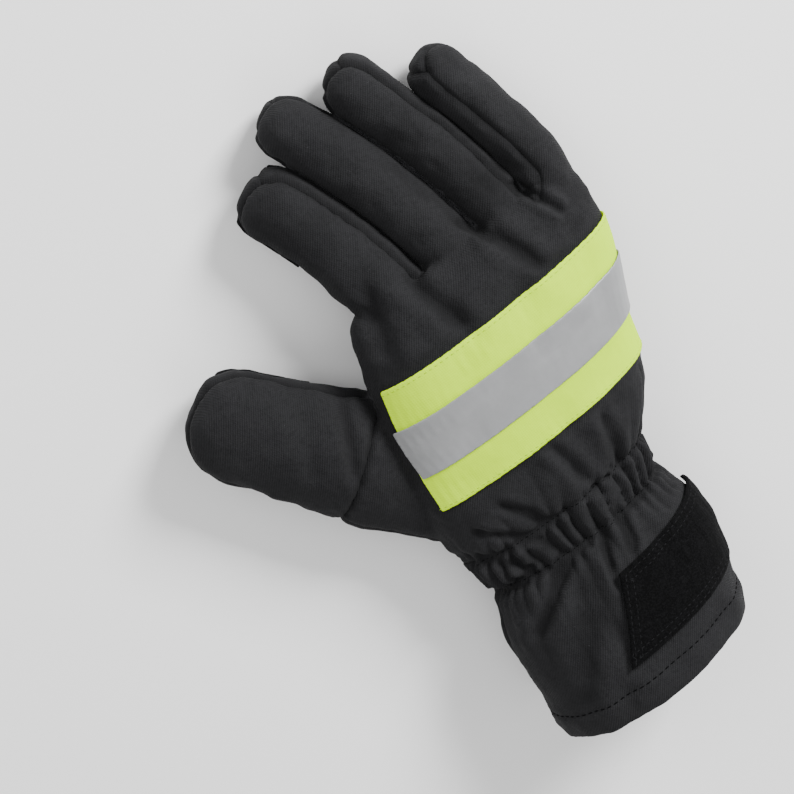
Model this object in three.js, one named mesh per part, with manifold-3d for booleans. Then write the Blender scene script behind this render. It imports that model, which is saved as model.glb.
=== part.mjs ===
// A firefighter's glove for the right hand, lying palm down on a table.
// Millimetres. +Y points to the fingertips, +X to the little finger, +Z up.
// The origin is the flat underside of the palm patch.
import * as THREE from 'three';
import { mergeVertices } from 'three/addons/utils/BufferGeometryUtils.js';
import Module from 'manifold-3d';

const wasm = await Module();
wasm.setup();

// Driving dimensions of the hand, the cuff and the fingers
const HAND_LENGTH = 114;
const HAND_WIDTH = 110;
const HAND_HEIGHT = 47;
const CUFF_LENGTH = 72;
const CUFF_WIDTH = 92;
const CUFF_HEIGHT = 62;
const FINGER_LENGTH = 92;
const FINGER_HEIGHT = 23;
const THUMB_LENGTH = 108;
const THUMB_WIDTH = 40;
const THUMB_HEIGHT = 29;

// Cloth, seams and trim
const WALL = 3;
const SEAM_GAP = 0.3;
const FINGER_GAP = 0.8;
const TAPE_WIDTH = 52;
const STRIP_WIDTH = 21;
const TAPE_THICKNESS = 0.9;
const STRIP_THICKNESS = 0.7;
const PATCH_THICKNESS = 1.2;
const LOOP_PATCH_THICKNESS = 1.5;
const HEM_WIDTH = 11;
const FINGER_ROOT = 26;
const ROOT_DRAW = 0.28;
const HEM_RELIEF = 0.7;
const GATHER_DEPTH = 1.4;
const GATHER_SPACING = 14;
const GATHER_RIBS = 13;
const GATHER_FLATNESS = 2.2;
const GATHER_PUFF = 0.55;
const GATHER_PINCH = 0.6;
const PINCH_WIDTH = 0.28;
const FOLD_SCALE = 0.8;
const HEM_ROLL = 0.6;
const HEM_FADE = 8;
const HEM_LINING = 14;
const MOUTH_ROOM = 5;
const CUT_ROOM = 10;
const HAND_SEAM_RISE = 0.25;
const LINING_RELIEF = 0.5;
const TRIM_RELIEF = 0.6;
const TAPE_END_TURN = 149;
const TAPE_END_SLANT = 9;

// Mesh density
const TOP_SIDES = 34;
const LOW_SIDES = 16;
const LINING_SIDES = 24;
const FINGER_SIDES = 12;
const FINGER_LINING_SIDES = 8;
const FACET_MERGE = 0.1;

// Places that the other sizes give
const WRIST_Y = -0.4825 * HAND_LENGTH;
const HEM_Y = WRIST_Y - CUFF_LENGTH;
const CROTCH_Y = WRIST_Y + HAND_LENGTH;
const PATCH_CLEARANCE = PATCH_THICKNESS + SEAM_GAP;
const TAPE_Y = WRIST_Y + 0.553 * HAND_LENGTH;
const STRIP_LIFT = 2 * SEAM_GAP + TAPE_THICKNESS;
const FAR_ASIDE = 0.8 * HAND_WIDTH;
const SIDE_SEAM_DROP = -0.52 * (FINGER_HEIGHT / 2);
const HALF_GAP = SEAM_GAP / 2;

// Cross sections of the cuff. at: share of the cuff's length behind the wrist. side: centre and
// wide: width, as shares of its width. low and high: bottom and top, as shares of its height.
const CUFF_SECTIONS = [
  { at: 1.00, side: -0.236, wide: 0.925, low: 0.000, mid: 0.46, high: 1.00 },
  { at: 0.80, side: -0.201, wide: 0.97, low: 0.000, mid: 0.46, high: 0.97 },
  { at: 0.55, side: -0.158, wide: 0.99, low: 0.000, mid: 0.44, high: 0.92 },
  { at: 0.30, side: -0.138, wide: 0.98, low: 0.000, mid: 0.41, high: 0.83 },
  { at: 0.14, side: -0.125, wide: 0.87, low: 0.000, mid: 0.37, high: 0.72 },
];

// Cross sections of the hand. at: share of the hand's length ahead of the wrist. The rest as above.
const HAND_SECTIONS = [
  { at: 0.00, side: -0.108, wide: 0.735, low: 0.000, mid: 0.47, high: 0.885 },
  { at: 0.10, side: -0.097, wide: 0.800, low: 0.000, mid: 0.47, high: 0.925 },
  { at: 0.25, side: -0.045, wide: 0.930, low: 0.000, mid: 0.48, high: 0.965 },
  { at: 0.45, side: -0.005, wide: 0.960, low: 0.000, mid: 0.50, high: 0.985 },
  { at: 0.62, side: 0.050, wide: 0.985, low: 0.000, mid: 0.52, high: 1.000 },
  { at: 0.78, side: 0.104, wide: 0.990, low: 0.060, mid: 0.53, high: 0.970 },
  { at: 0.89, side: 0.138, wide: 0.960, low: 0.130, mid: 0.53, high: 0.915 },
  { at: 0.96, side: 0.148, wide: 0.920, low: 0.210, mid: 0.53, high: 0.840 },
  { at: 1.00, side: 0.150, wide: 0.870, low: 0.290, mid: 0.52, high: 0.750 },
];

// Height of the side seams and of the fingers' middle line beyond the knuckles. at: share of the
// finger length ahead of the crotch line. high: share of the hand's height.
const FINGER_LINE = [
  { at: 0.00, high: 0.510 },
  { at: 0.16, high: 0.455 },
  { at: 0.36, high: 0.375 },
  { at: 0.58, high: 0.310 },
  { at: 0.80, high: 0.268 },
  { at: 1.10, high: 0.255 },
];

// Fingers from the index to the little finger. reach: fingertip, as a share of the finger length
// ahead of the crotch line. width: share of the hand's width. height: share of the finger height.
// seamLeft and seamRight: rise of the back seam on its sides, in shares of the finger's half height.
const FINGERS = [
  { name: 'index', reach: 0.880, width: 0.268, height: 1.00, seamLeft: -0.15, seamRight: 0.70 },
  { name: 'middle', reach: 0.980, width: 0.228, height: 0.98, seamLeft: 0.05, seamRight: 0.10 },
  { name: 'ring', reach: 0.810, width: 0.207, height: 0.94, seamLeft: 0.05, seamRight: 0.70 },
  { name: 'little', reach: 0.570, width: 0.200, height: 0.92, seamLeft: 1.35, seamRight: -0.20 },
];

// The groove between the middle and the ring finger, which all fingers follow.
const GROOVE = { side: 0.2345, lean: 8, hook: 19, root: 14 };

// The thumb's middle line. at: share of its length from inside the palm. across and ahead: place in
// shares of the hand's width and length. high: share of the hand's height. wide and deep: shares of
// the thumb's width and height.
const THUMB_SECTIONS = [
  { at: 0.00, across: -0.335, ahead: -0.120, high: 0.40, wide: 1.42, deep: 0.95 },
  { at: 0.25, across: -0.485, ahead: 0.030, high: 0.40, wide: 1.38, deep: 1.04 },
  { at: 0.50, across: -0.622, ahead: 0.200, high: 0.39, wide: 1.20, deep: 1.06 },
  { at: 0.75, across: -0.765, ahead: 0.385, high: 0.36, wide: 1.06, deep: 1.00 },
  { at: 1.00, across: -0.905, ahead: 0.590, high: 0.34, wide: 0.98, deep: 0.96 },
];
const THUMB_SEAM_AT = 0.39;
const THUMB_SEAM_RISE = 0.22;

// The sheet that parts the thumb's back from its palm: from and to are shares of the thumb's length.
// It is level beyond steady.
const THUMB_CUT = { from: 0.1, to: 1.1, steady: 0.8 };

// Where the strip between two fingers starts and ends. root: share of the finger length behind the
// crotch line. short and past: shares of the finger height before and beyond the tip's middle.
const SIDEWALL = { root: 0.13, short: 0.3, past: 0.1 };

// Places of the rings in a round end, as shares of its length
const END_STEPS = [0, 0.4, 0.68, 0.88, 0.98];

// Corners of the loop patch. turn: degrees around the cuff. back: share of the cuff's length.
const LOOP_PATCH = { rightTurn: 2, leftTurn: [88, 105], back: [0.245, 0.30], deep: 0.435 };

// The palm patch: shares of the hand's length and of its width, with its heel's length.
const PALM_PATCH = { from: 0.02, to: 0.68, heel: 0.30, share: 0.76 };

// Grip patches: turns in degrees, and where they start, as shares of the finger and of the thumb.
const GRIP = { from: 205, to: 335, indexFrom: 0.46, thumbFrom: 0.62, endShare: 0.72 };

// Dents and folds of the back. ahead: place as a share of the hand's length ahead of the wrist.
// across: share of the half width. angle: degrees from +Y. long and wide: shares of the hand's width.
// depth: share of the wall, negative where the cloth stands up.
const FOLDS = [
  { ahead: 0.80, across: 0.22, angle: 4, long: 0.20, wide: 0.050, depth: 0.80 },
  { ahead: 0.84, across: -0.28, angle: 12, long: 0.16, wide: 0.045, depth: 0.60 },
  { ahead: 0.82, across: 0.58, angle: -6, long: 0.15, wide: 0.045, depth: 0.60 },
  { ahead: 0.27, across: -0.30, angle: -62, long: 0.20, wide: 0.050, depth: 0.75 },
  { ahead: 0.24, across: 0.28, angle: -24, long: 0.15, wide: 0.050, depth: 0.90 },
  { ahead: 0.20, across: 0.62, angle: 10, long: 0.14, wide: 0.045, depth: 0.75 },
  { ahead: 0.14, across: -0.62, angle: -75, long: 0.16, wide: 0.045, depth: 0.60 },
  { ahead: -0.22, across: -0.36, angle: -20, long: 0.18, wide: 0.045, depth: 1.00 },
  { ahead: -0.18, across: 0.10, angle: -8, long: 0.14, wide: 0.040, depth: 0.70 },
  { ahead: -0.20, across: 0.52, angle: 12, long: 0.12, wide: 0.040, depth: 0.80 },
  { ahead: -0.21, across: -0.74, angle: -40, long: 0.12, wide: 0.040, depth: 0.70 },
];

const BLACK_CLOTH = { color: 0x2c2c30, roughness: 0.92, metalness: 0 };
const SIDE_CLOTH = { color: 0x26262a, roughness: 0.92, metalness: 0 };
const SUEDE = { color: 0x1d1d20, roughness: 0.95, metalness: 0 };
const LOOP_TAPE = { color: 0x19191b, roughness: 1.0, metalness: 0 };
const YELLOW_TAPE = { color: 0xd8f03a, roughness: 0.6, metalness: 0 };
const SILVER_TAPE = { color: 0xb4b6ba, roughness: 0.35, metalness: 0.3 };

const radians = (degrees) => (degrees * Math.PI) / 180;
const mix = (a, b, share) => a + (b - a) * share;
const clamp = (value, low, high) => Math.min(high, Math.max(low, value));
const steps = (from, to, count) => Array.from({ length: count + 1 }, (_, i) => mix(from, to, i / count));

// A smooth curve through the rows of a table, read at one place.
function readTable(rows, key, column, place) {
  const last = rows.length - 1;
  const at = clamp(place, rows[0][key], rows[last][key]);
  let i = 0;
  while (i < last - 1 && at > rows[i + 1][key]) i += 1;
  const slope = (j) => {
    const a = rows[Math.max(j - 1, 0)];
    const b = rows[Math.min(j + 1, last)];
    return (b[column] - a[column]) / (b[key] - a[key]);
  };
  const width = rows[i + 1][key] - rows[i][key];
  const u = (at - rows[i][key]) / width;
  const rise = 3 * u ** 2 - 2 * u ** 3;
  const leaving = slope(i) * width * (u ** 3 - 2 * u ** 2 + u);
  const arriving = slope(i + 1) * width * (u ** 3 - u ** 2);
  return mix(rows[i][column], rows[i + 1][column], rise) + leaving + arriving;
}

// The cuff's and the hand's sections as one table in millimetres, from the hem to the crotch line.
const BODY = [
  ...CUFF_SECTIONS.map((row) => ({
    y: WRIST_Y - row.at * CUFF_LENGTH,
    x: row.side * CUFF_WIDTH,
    half: (row.wide * CUFF_WIDTH) / 2,
    low: row.low * CUFF_HEIGHT,
    mid: row.mid * CUFF_HEIGHT,
    high: row.high * CUFF_HEIGHT,
  })),
  ...HAND_SECTIONS.map((row) => ({
    y: WRIST_Y + row.at * HAND_LENGTH,
    x: row.side * HAND_WIDTH,
    half: (row.wide * HAND_WIDTH) / 2,
    low: row.low * HAND_HEIGHT,
    mid: row.mid * HAND_HEIGHT,
    high: row.high * HAND_HEIGHT,
  })),
];
const body = (y, column) => readTable(BODY, 'y', column, y);

// How squarely the sections turn: 2 is an ellipse. The underside lies flatter than the back.
const TOP_SQUARENESS = 2.35;
const LOW_SQUARENESS = 3.0;

// Ribs of the gathered wrist: they stand between two rows of stitching and fade out past them.
function gather(y, turn) {
  const reach = (y - (WRIST_Y + 0.02 * HAND_LENGTH)) / (GATHER_SPACING / 2);
  const inside = Math.exp(-(reach ** 4) / GATHER_FLATNESS);
  const pinch = Math.exp(-(((Math.abs(reach) - 1) / PINCH_WIDTH) ** 2));
  const onTop = clamp(Math.sin(turn) * 3, 0, 1);
  const rib = 0.5 + 0.5 * Math.cos(GATHER_RIBS * 2 * turn);
  return onTop * GATHER_DEPTH * (GATHER_PUFF * rib * inside - GATHER_PINCH * pinch);
}

// Depth of the folds at one place on the back.
function fold(x, y, across) {
  let depth = 0;
  for (const row of FOLDS) {
    const dx = x - across(row.across);
    const dy = y - (WRIST_Y + row.ahead * HAND_LENGTH);
    const c = Math.cos(radians(row.angle));
    const s = Math.sin(radians(row.angle));
    const along = (dx * s + dy * c) / (row.long * HAND_WIDTH);
    const aside = (dx * c - dy * s) / (row.wide * HAND_WIDTH);
    depth += row.depth * Math.exp(-(along ** 2) - aside ** 2);
  }
  return depth * WALL * FOLD_SCALE;
}

// The cuff lies on the table, and the palm lies on the palm patch.
function floorAt(y) {
  const share = clamp((y - (WRIST_Y - GATHER_SPACING)) / GATHER_SPACING, 0, 1);
  return PATCH_CLEARANCE * share * share * (3 - 2 * share);
}

// One point of the hand's or the cuff's surface. turn 0 is the little finger's side, PI / 2 the top.
// grow moves it outward: minus the wall gives the inside.
function bodyPoint(y, turn, grow = 0, relief = 1) {
  const c = Math.cos(turn);
  const s = Math.sin(turn);
  const power = s >= 0 ? TOP_SQUARENESS : LOW_SQUARENESS;
  const round = (Math.abs(c) ** power + Math.abs(s) ** power) ** (-1 / power);
  const mid = body(y, 'mid');
  const half = body(y, 'half');
  const tall = s >= 0 ? body(y, 'high') - mid : mid - body(y, 'low');
  const centre = body(y, 'x');
  let out = grow;
  if (s > 0) {
    const plan = centre + half * c * round;
    const fade = clamp(s * 2, 0, 1);
    out += relief * (gather(y, turn) - fade * fold(plan, y, (share) => centre + share * half));
  }
  const x = centre + (half + out) * c * round;
  const z = mid + (tall + out) * s * round;
  return [x, y, z];
}

// Turns around a section, close together on the back and wider apart below, even along the cloth.
function turnsAround(topSides, lowSides) {
  const flat = HAND_HEIGHT / HAND_WIDTH;
  const evenTurns = (from, to, count) => {
    const fine = steps(from, to, 400);
    const lengths = [0];
    for (let i = 1; i < fine.length; i += 1) {
      const dx = Math.cos(fine[i]) - Math.cos(fine[i - 1]);
      const dz = flat * (Math.sin(fine[i]) - Math.sin(fine[i - 1]));
      lengths.push(lengths[i - 1] + Math.hypot(dx, dz));
    }
    const total = lengths[lengths.length - 1];
    return steps(0, total, count).slice(0, -1).map((target) => {
      const i = Math.max(1, lengths.findIndex((length) => length >= target));
      return mix(fine[i - 1], fine[i], (target - lengths[i - 1]) / (lengths[i] - lengths[i - 1]));
    });
  };
  return [...evenTurns(0, Math.PI, topSides), ...evenTurns(Math.PI, 2 * Math.PI, lowSides)];
}

// A closed body through rings of points, with a flat fan at both ends. Rings run from +X to +Z.
function loft(rings) {
  const sides = rings[0].length;
  const positions = rings.flat(2);
  const faces = [];
  for (let r = 0; r < rings.length - 1; r += 1) {
    for (let i = 0; i < sides; i += 1) {
      const a = r * sides + i;
      const b = r * sides + ((i + 1) % sides);
      faces.push(a, b + sides, b, a, a + sides, b + sides);
    }
  }
  const middle = (ring) => [0, 1, 2].map((k) => ring.reduce((sum, p) => sum + p[k], 0) / sides);
  const first = positions.length / 3;
  positions.push(...middle(rings[0]), ...middle(rings[rings.length - 1]));
  const end = (rings.length - 1) * sides;
  for (let i = 0; i < sides; i += 1) {
    const j = (i + 1) % sides;
    faces.push(first, i, j, first + 1, end + j, end + i);
  }
  return solid(positions, faces);
}

// A closed sheet: a grid of points and the same grid moved, joined along the rim.
function sheet(rows, columns, point, offset) {
  const positions = [];
  const faces = [];
  const count = (rows + 1) * (columns + 1);
  for (const side of [0, 1]) {
    for (let r = 0; r <= rows; r += 1) {
      for (let c = 0; c <= columns; c += 1) positions.push(...point(r / rows, c / columns, offset[side]));
    }
  }
  const at = (r, c, side) => side * count + r * (columns + 1) + c;
  const quad = (a, b, c, d) => faces.push(a, b, c, a, c, d);
  for (let r = 0; r < rows; r += 1) {
    for (let c = 0; c < columns; c += 1) {
      quad(at(r, c, 1), at(r, c + 1, 1), at(r + 1, c + 1, 1), at(r + 1, c, 1));
      quad(at(r, c, 0), at(r + 1, c, 0), at(r + 1, c + 1, 0), at(r, c + 1, 0));
    }
  }
  for (let r = 0; r < rows; r += 1) {
    quad(at(r, 0, 0), at(r, 0, 1), at(r + 1, 0, 1), at(r + 1, 0, 0));
    quad(at(r + 1, columns, 0), at(r + 1, columns, 1), at(r, columns, 1), at(r, columns, 0));
  }
  for (let c = 0; c < columns; c += 1) {
    quad(at(0, c + 1, 0), at(0, c + 1, 1), at(0, c, 1), at(0, c, 0));
    quad(at(rows, c, 0), at(rows, c, 1), at(rows, c + 1, 1), at(rows, c + 1, 0));
  }
  return solid(positions, faces);
}

function solid(positions, faces) {
  const geometry = new THREE.BufferGeometry();
  geometry.setAttribute('position', new THREE.Float32BufferAttribute(positions, 3));
  geometry.setIndex(faces);
  return solidOf(geometry);
}

function solidOf(geometry) {
  geometry.deleteAttribute('normal');
  geometry.deleteAttribute('uv');
  const merged = mergeVertices(geometry, 1e-4);
  const vertProperties = new Float32Array(merged.attributes.position.array);
  const triVerts = new Uint32Array(merged.index.array);
  const made = new wasm.Manifold(new wasm.Mesh({ numProp: 3, vertProperties, triVerts }));
  if (made.volume() > 0) return made;
  return new wasm.Manifold(new wasm.Mesh({ numProp: 3, vertProperties, triVerts: triVerts.toReversed() }));
}

const join = (solids) => wasm.Manifold.union(solids);

// The middle line of the fingers: a point and a direction at a distance ahead of the crotch line.
function groovePoint(distance) {
  const pieces = 24;
  const point = [GROOVE.side * HAND_WIDTH, CROTCH_Y];
  const bend = (d) => (d > 0 ? (GROOVE.hook * d) / FINGER_LENGTH : (GROOVE.root * d) / FINGER_ROOT);
  const heading = (d) => -radians(GROOVE.lean + bend(d));
  for (let i = 0; i < pieces; i += 1) {
    const turn = heading((distance * (i + 0.5)) / pieces);
    point[0] += (Math.sin(turn) * distance) / pieces;
    point[1] += (Math.cos(turn) * distance) / pieces;
  }
  return { point, heading: heading(distance) };
}

const fingerWidth = (finger) => finger.width * HAND_WIDTH - FINGER_GAP;
const fingerSide = FINGERS.map((finger, index) => {
  const between = (list) => list.reduce((sum, other) => sum + other.width * HAND_WIDTH, 0);
  const own = (finger.width * HAND_WIDTH) / 2;
  return index < 2 ? -between(FINGERS.slice(index + 1, 2)) - own : between(FINGERS.slice(2, index)) + own;
});

// Height of the fingers' middle line, which the hand's side seam runs into.
function middleHeight(y) {
  if (y < CROTCH_Y) return body(y, 'mid');
  return HAND_HEIGHT * readTable(FINGER_LINE, 'at', 'high', (y - CROTCH_Y) / FINGER_LENGTH);
}

// Round end of a finger: share of the full width at a share of the end's length.
const roundEnd = (share) => (1 - share ** 2.4) ** (1 / 2.4);

// The centre of a finger at a distance ahead of the crotch line. The roots draw together in the hand.
function fingerCentre(index, distance) {
  const { point, heading } = groovePoint(distance);
  const aside = fingerSide[index] * (1 + ROOT_DRAW * Math.min(0, distance / FINGER_ROOT));
  const x = point[0] + Math.cos(heading) * aside;
  const y = point[1] - Math.sin(heading) * aside;
  return { x, y, z: middleHeight(y), heading };
}

// A point of a finger's or the thumb's section, and a whole ring of them.
function sectionPoint({ x, y, z, heading, halfWide, halfHigh }, turn) {
  const aside = halfWide * Math.cos(turn);
  return [x + Math.cos(heading) * aside, y - Math.sin(heading) * aside, z + halfHigh * Math.sin(turn)];
}
const ring = (section, sides) => steps(0, 2 * Math.PI, sides)
  .slice(0, -1)
  .map((turn) => sectionPoint(section, turn));

// Centre and half sizes of a finger's section, with its surface moved outward by grow.
function fingerSection(index, at, grow) {
  const finger = FINGERS[index];
  const halfWide = fingerWidth(finger) / 2 + grow;
  const halfHigh = (finger.height * FINGER_HEIGHT) / 2 + grow;
  const tip = finger.reach * FINGER_LENGTH + grow;
  const roundFrom = tip - halfWide;
  const size = at > roundFrom ? roundEnd(Math.min(1, (at - roundFrom) / halfWide)) : 1;
  const centre = fingerCentre(index, at);
  const lift = Math.max(0, halfHigh * size - grow - centre.z);
  const z = centre.z + lift;
  return { ...centre, z, halfWide: halfWide * size, halfHigh: halfHigh * size, tip, roundFrom };
}

function fingerSolid(index, grow, sides, rootLength) {
  const { tip, roundFrom } = fingerSection(index, 0, grow);
  const places = [
    ...steps(-rootLength, roundFrom, 6).slice(0, -1),
    ...END_STEPS.map((share) => mix(roundFrom, tip, share)),
  ];
  return loft(places.map((at) => ring(fingerSection(index, at, grow), sides)));
}

const thumb = (at, column) => readTable(THUMB_SECTIONS, 'at', column, at);

function thumbCentre(at) {
  const place = (share) => [thumb(share, 'across') * HAND_WIDTH, thumb(share, 'ahead') * HAND_LENGTH];
  const [x, y] = place(at);
  const [x0, y0] = place(clamp(at - 0.02, 0, 0.96));
  const [x1, y1] = place(clamp(at + 0.02, 0.04, 1));
  return { x, y, z: thumb(at, 'high') * HAND_HEIGHT, heading: Math.atan2(x1 - x0, y1 - y0) };
}

function thumbSection(at, grow) {
  const roundShare = (0.5 * THUMB_WIDTH + grow) / THUMB_LENGTH;
  const tip = 1 + grow / THUMB_LENGTH;
  const roundFrom = tip - roundShare;
  const size = at > roundFrom ? roundEnd(Math.min(1, (at - roundFrom) / roundShare)) : 1;
  const halfWide = ((thumb(at, 'wide') * THUMB_WIDTH) / 2 + grow) * size;
  const halfHigh = ((thumb(at, 'deep') * THUMB_HEIGHT) / 2 + grow) * size;
  const centre = thumbCentre(at);
  const lift = Math.max(0, PATCH_CLEARANCE + halfHigh - grow - centre.z);
  return { ...centre, z: centre.z + lift, halfWide, halfHigh, tip, roundFrom };
}

function thumbSolid(grow, sides) {
  const { tip, roundFrom } = thumbSection(0, grow);
  const places = [
    ...steps(0, roundFrom, 8).slice(0, -1),
    ...END_STEPS.map((share) => mix(roundFrom, tip, share)),
  ];
  return loft(places.map((at) => ring(thumbSection(at, grow), sides)));
}

// The hand and the cuff, outside
function bodyOutside(grow = 0) {
  const rows = [
    HEM_Y, HEM_Y + HEM_WIDTH - HEM_ROLL, HEM_Y + HEM_WIDTH + HEM_ROLL,
    ...steps(HEM_Y + HEM_WIDTH + HEM_FADE, WRIST_Y - GATHER_SPACING, 3),
    ...steps(WRIST_Y - 0.72 * GATHER_SPACING, WRIST_Y + 0.9 * GATHER_SPACING, 8),
    ...steps(WRIST_Y + 1.35 * GATHER_SPACING, CROTCH_Y - 0.12 * HAND_LENGTH, 7),
    ...steps(CROTCH_Y - 0.07 * HAND_LENGTH, CROTCH_Y, 3),
  ];
  const turns = turnsAround(TOP_SIDES, LOW_SIDES);
  return loft(rows.map((y) => {
    const hem = y < HEM_Y + HEM_WIDTH ? HEM_RELIEF : 0;
    return turns.map((turn) => {
      const point = bodyPoint(y, turn, hem + grow);
      return [point[0], point[1], Math.max(floorAt(y), point[2])];
    });
  }));
}

// The room inside the hand and the cuff, which runs out past the hem
function bodyInside() {
  const rows = [
    HEM_Y - MOUTH_ROOM, HEM_Y, ...steps(HEM_Y + HEM_LINING, WRIST_Y - GATHER_SPACING, 3),
    ...steps(WRIST_Y - 0.5 * GATHER_SPACING, WRIST_Y + GATHER_SPACING, 3),
    ...steps(WRIST_Y + 0.28 * HAND_LENGTH, CROTCH_Y - 0.1 * HAND_LENGTH, 5),
    CROTCH_Y - WALL,
  ];
  const turns = turnsAround(0.55 * LINING_SIDES, 0.45 * LINING_SIDES);
  return loft(rows.map((y) => turns.map((turn) => {
    const [x, , z] = bodyPoint(Math.max(y, HEM_Y), turn, -WALL, LINING_RELIEF);
    return [x, y, Math.max(floorAt(y) + WALL, z)];
  })));
}

// A prism over an outline in the plan, tall enough to cut the whole glove
function prism(outline) {
  const shape = new THREE.Shape(outline.map(([x, y]) => new THREE.Vector2(x, y)));
  const tall = 3 * CUFF_HEIGHT;
  const geometry = new THREE.ExtrudeGeometry(shape, { depth: tall, bevelEnabled: false });
  geometry.translate(0, 0, -tall / 2);
  return solidOf(geometry);
}

// A place in the plan from a distance ahead of the crotch line and a distance aside of the groove
function fingerPlan(distance, aside) {
  const { point, heading } = groovePoint(distance);
  return [point[0] + Math.cos(heading) * aside, point[1] - Math.sin(heading) * aside];
}

// Everything above a seam. The seam's height over the middle line changes from column to column.
function aboveSeam(columns, lift) {
  const rows = [
    ...steps(HEM_Y - CUT_ROOM, CROTCH_Y - 0.2 * HAND_LENGTH, 8).map((y) => columns.map(({ aside, rise }) => {
      const share = (GROOVE.side * HAND_WIDTH + aside - body(CROTCH_Y, 'x')) / body(CROTCH_Y, 'half');
      return [body(y, 'x') + share * body(y, 'half'), y, middleHeight(y) + HAND_SEAM_RISE * rise + lift];
    })),
    ...steps(0, 1.15 * FINGER_LENGTH, 6).map((distance) => columns.map(({ aside, rise }) => {
      const [x, y] = fingerPlan(distance, aside);
      return [x, y, middleHeight(y) + rise + lift];
    })),
  ];
  return sheet(rows.length - 1, columns.length - 1, (r, c, top) => {
    const [x, y, z] = rows[Math.round(r * (rows.length - 1))][Math.round(c * (columns.length - 1))];
    return [x, y, top ? 3 * CUFF_HEIGHT : z];
  }, [0, 1]);
}

const backColumns = FINGERS.flatMap((finger, i) => {
  const halfWide = fingerWidth(finger) / 2;
  const halfHigh = (finger.height * FINGER_HEIGHT) / 2;
  return [
    { aside: fingerSide[i] - halfWide, rise: finger.seamLeft * halfHigh },
    { aside: fingerSide[i] + halfWide, rise: finger.seamRight * halfHigh },
  ];
});
backColumns.unshift({ ...backColumns[0], aside: -FAR_ASIDE });
backColumns.push({ ...backColumns[backColumns.length - 1], aside: FAR_ASIDE });
const sideColumns = [-FAR_ASIDE, FAR_ASIDE].map((aside) => ({ aside, rise: SIDE_SEAM_DROP }));

// Plan of the strip between two fingers: from the middle of one to the middle of the next
function sidewallPlan(left, grow) {
  const right = left + 1;
  const rootAt = -SIDEWALL.root * FINGER_LENGTH - grow;
  const line = (index, sign) => {
    const half = (fingerWidth(FINGERS[index]) / 2 + FINGER_GAP / 2) * sign;
    const tip = FINGERS[index].reach * FINGER_LENGTH;
    const middle = fingerSide[index] - sign * grow;
    const straight = steps(rootAt, tip - SIDEWALL.short * FINGER_HEIGHT, 5).map((d) => fingerPlan(d, middle));
    return [...straight, fingerPlan(tip + grow + SIDEWALL.past * FINGER_HEIGHT, fingerSide[index] + half)];
  };
  return [...line(left, 1), ...line(right, -1).reverse()];
}

// The whole glove as one hollow shell
const outside = join([
  bodyOutside(),
  ...FINGERS.map((_, i) => fingerSolid(i, 0, FINGER_SIDES, FINGER_ROOT)),
  thumbSolid(0, FINGER_SIDES + 4),
]);
const inside = join([
  bodyInside(),
  ...FINGERS.map((_, i) => fingerSolid(i, -WALL, FINGER_LINING_SIDES, FINGER_ROOT - WALL)),
  thumbSolid(-WALL, FINGER_LINING_SIDES),
]);
const shell = outside.subtract(inside);

// The thumb is cut off across its root and where it meets the side of the hand.
function thumbZone(grow) {
  const { x, y, heading } = thumbCentre(THUMB_SEAM_AT);
  const place = (along, aside) => [
    x + Math.sin(heading) * along + Math.cos(heading) * aside,
    y + Math.cos(heading) * along - Math.sin(heading) * aside,
  ];
  const halfWide = 0.85 * THUMB_WIDTH;
  const corners = [
    place(-grow, -halfWide),
    place(-grow, halfWide),
    place(THUMB_LENGTH, halfWide),
    place(THUMB_LENGTH, -halfWide),
  ];
  return prism(corners).subtract(bodyOutside(SEAM_GAP - grow));
}
const thumbShell = shell.intersect(thumbZone(0));
const handShell = shell.subtract(thumbZone(SEAM_GAP));

// Everything above the seam round the thumb
function aboveThumbSeam(lift) {
  const halfWide = 1.2 * THUMB_WIDTH;
  return sheet(8, 1, (r, c, top) => {
    const at = mix(THUMB_CUT.from, THUMB_CUT.to, r);
    const section = thumbSection(at, 0);
    const middle = thumbSection(Math.min(at, THUMB_CUT.steady), 0);
    const rise = (THUMB_SEAM_RISE * THUMB_HEIGHT) / 2;
    const aside = mix(-halfWide, halfWide, c);
    const along = Math.max(0, at - 1) * THUMB_LENGTH;
    return [
      section.x + Math.cos(section.heading) * aside + Math.sin(section.heading) * along,
      section.y - Math.sin(section.heading) * aside + Math.cos(section.heading) * along,
      top ? 3 * CUFF_HEIGHT : middle.z + rise + lift,
    ];
  }, [0, 1]);
}

const backPanel = handShell.intersect(aboveSeam(backColumns, HALF_GAP));
const lowerHand = handShell.subtract(aboveSeam(backColumns, -HALF_GAP));
const sidewalls = [0, 1, 2].map((left) => lowerHand
  .intersect(prism(sidewallPlan(left, 0)))
  .intersect(aboveSeam(sideColumns, HALF_GAP)));
const sidewallCuts = [0, 1, 2].map((left) => prism(sidewallPlan(left, SEAM_GAP))
  .intersect(aboveSeam(sideColumns, -HALF_GAP)));
const palmPanel = lowerHand.subtract(join(sidewallCuts));

// Bands across the back and the loop patch on the cuff follow the cloth below them.
const bandTurns = turnsAround(TOP_SIDES, LOW_SIDES).filter((turn) => turn < radians(TAPE_END_TURN));
function band(width, lift, thickness, rows) {
  return sheet(rows, bandTurns.length - 1, (r, c, out) => bodyPoint(
    TAPE_Y + mix(-width / 2, width / 2, r),
    bandTurns[Math.round(c * (bandTurns.length - 1))] + radians(TAPE_END_SLANT) * (r - 0.5) * c * c,
    lift + out,
    TRIM_RELIEF,
  ), [0, thickness]);
}

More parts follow.
